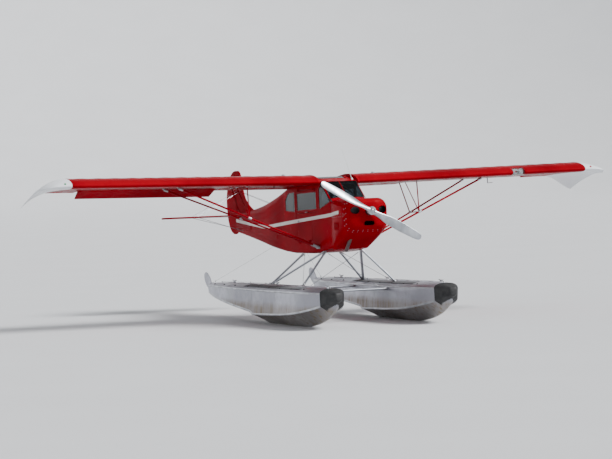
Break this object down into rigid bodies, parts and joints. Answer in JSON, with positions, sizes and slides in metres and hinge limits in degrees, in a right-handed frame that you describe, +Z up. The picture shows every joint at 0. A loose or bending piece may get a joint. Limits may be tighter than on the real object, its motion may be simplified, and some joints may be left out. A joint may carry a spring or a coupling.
{
  "type": "floatplane",
  "caption": "Light high-wing fabric-covered bush aeroplane on twin aluminium floats, with strut-braced wings, a fixed-pitch propeller and side doors to an enclosed tandem cabin.",
  "frame": {"origin": "on the floor below the middle of the whole length and span; the float keels stand on z = 0", "axes": "+X forward to the nose, +Y to port, +Z up"},
  "size_m": [7.7324, 10.74, 3.0407],
  "materials": {
    "red_fabric": "gloss",
    "white_fabric": "gloss",
    "red_paint": "gloss",
    "strut_paint": "gloss",
    "glazing": "gloss",
    "interior_trim": "matte",
    "upholstery": "matte",
    "engine_iron": "matte",
    "exhaust_steel": "satin",
    "blade_alloy": "satin",
    "white_plastic": "gloss",
    "float_alloy": "satin",
    "gear_alloy": "satin",
    "bumper_rubber": "matte"
  },
  "bodies": {
    "airframe": {"cabin_shell": "red_fabric", "windscreen": "glazing", "side_window_left": "glazing", "rear_window_left": "glazing", "rear_window_right": "glazing", "skylight": "glazing", "cabin_floor": "interior_trim", "instrument_panel": "interior_trim", "seat_front": "upholstery", "seat_rear": "upholstery", "control_sticks": "interior_trim", "cowl_nose": "red_paint", "cowl_top": "red_paint", "cowl_bottom": "red_paint", "engine": "engine_iron", "exhaust_pipe": "exhaust_steel", "wing_left": "red_fabric", "wing_tip_left": "white_fabric", "lift_struts_left": "strut_paint", "wing_right": "red_fabric", "wing_tip_right": "white_fabric", "lift_struts_right": "strut_paint", "landing_light": "glazing", "antenna": "white_plastic", "rear_fuselage": "red_fabric", "fin": "red_fabric", "stabiliser_left": "red_fabric", "stabiliser_right": "red_fabric", "float_left": "float_alloy", "bow_bumper_left": "bumper_rubber", "float_struts_left": "gear_alloy", "water_rudder_bracket_left": "gear_alloy", "float_right": "float_alloy", "bow_bumper_right": "bumper_rubber", "float_struts_right": "gear_alloy", "water_rudder_bracket_right": "gear_alloy", "spreader_bar_front": "gear_alloy", "spreader_bar_rear": "gear_alloy"},
    "propeller": {"propeller": "blade_alloy"},
    "door_upper": {"door_upper": "red_fabric", "door_upper_glass": "glazing"},
    "door_lower": {"door_lower": "red_fabric"},
    "flap_left": {"flap_left": "red_fabric"},
    "flap_right": {"flap_right": "red_fabric"},
    "aileron_left": {"aileron_left": "red_fabric"},
    "aileron_right": {"aileron_right": "red_fabric"},
    "rudder": {"rudder": "red_fabric"},
    "elevators": {"elevators": "red_fabric"},
    "water_rudder_left": {"water_rudder_left": "gear_alloy"},
    "water_rudder_right": {"water_rudder_right": "gear_alloy"}
  },
  "joints": [
    {"name": "propeller_spin", "type": "hinge", "parent": "airframe", "child": "propeller", "pos_m": [2.94157, 0, 1.95898], "axis": [0.999, 0, 0.0436], "continuous": true},
    {"name": "door_upper_hinge", "type": "hinge", "parent": "airframe", "child": "door_upper", "pos_m": [0.93428, -0.376, 2.31176], "axis": [-0.999, 0, -0.0436], "range_deg": [0, 88]},
    {"name": "door_lower_hinge", "type": "hinge", "parent": "airframe", "child": "door_lower", "pos_m": [0.83314, -0.376, 1.4185], "axis": [0.999, 0, 0.0436], "range_deg": [0, 140]},
    {"name": "flap_left_hinge", "type": "hinge", "parent": "airframe", "child": "flap_left", "pos_m": [0.36284, 1.115, 2.42374], "axis": [-0.0008, 0.9998, 0.0174], "range_deg": [-50, 0]},
    {"name": "flap_right_hinge", "type": "hinge", "parent": "airframe", "child": "flap_right", "pos_m": [0.36284, -1.115, 2.42374], "axis": [0.0008, 0.9998, -0.0174], "range_deg": [-50, 0]},
    {"name": "aileron_left_hinge", "type": "hinge", "parent": "airframe", "child": "aileron_left", "pos_m": [0.36133, 3.105, 2.45844], "axis": [-0.0008, 0.9998, 0.0174], "range_deg": [-35, 1]},
    {"name": "aileron_right_hinge", "type": "hinge", "parent": "airframe", "child": "aileron_right", "pos_m": [0.36133, -3.105, 2.45844], "axis": [0.0008, 0.9998, -0.0174], "range_deg": [-1, 35]},
    {"name": "rudder_hinge", "type": "hinge", "parent": "airframe", "child": "rudder", "pos_m": [-3.35683, 0, 2.0143], "axis": [-0.0436, 0, 0.999], "range_deg": [-25, 25]},
    {"name": "elevator_hinge", "type": "hinge", "parent": "airframe", "child": "elevators", "pos_m": [-3.11789, 0, 1.81454], "axis": [0, 1, 0], "range_deg": [-15, 25]},
    {"name": "water_rudder_left_hinge", "type": "hinge", "parent": "airframe", "child": "water_rudder_left", "pos_m": [-1.93358, 1.06, 0.54], "axis": [0, 0, 1], "range_deg": [-31, 31]},
    {"name": "water_rudder_right_hinge", "type": "hinge", "parent": "airframe", "child": "water_rudder_right", "pos_m": [-1.93358, -1.06, 0.54], "axis": [0, 0, 1], "range_deg": [-31, 31]}
  ],
  "couplings": [
    {"joint": "flap_right_hinge", "follows": "flap_left_hinge", "ratio": 1},
    {"joint": "aileron_right_hinge", "follows": "aileron_left_hinge", "ratio": -1},
    {"joint": "water_rudder_left_hinge", "follows": "rudder_hinge", "ratio": 1.2},
    {"joint": "water_rudder_right_hinge", "follows": "rudder_hinge", "ratio": 1.2}
  ]
}
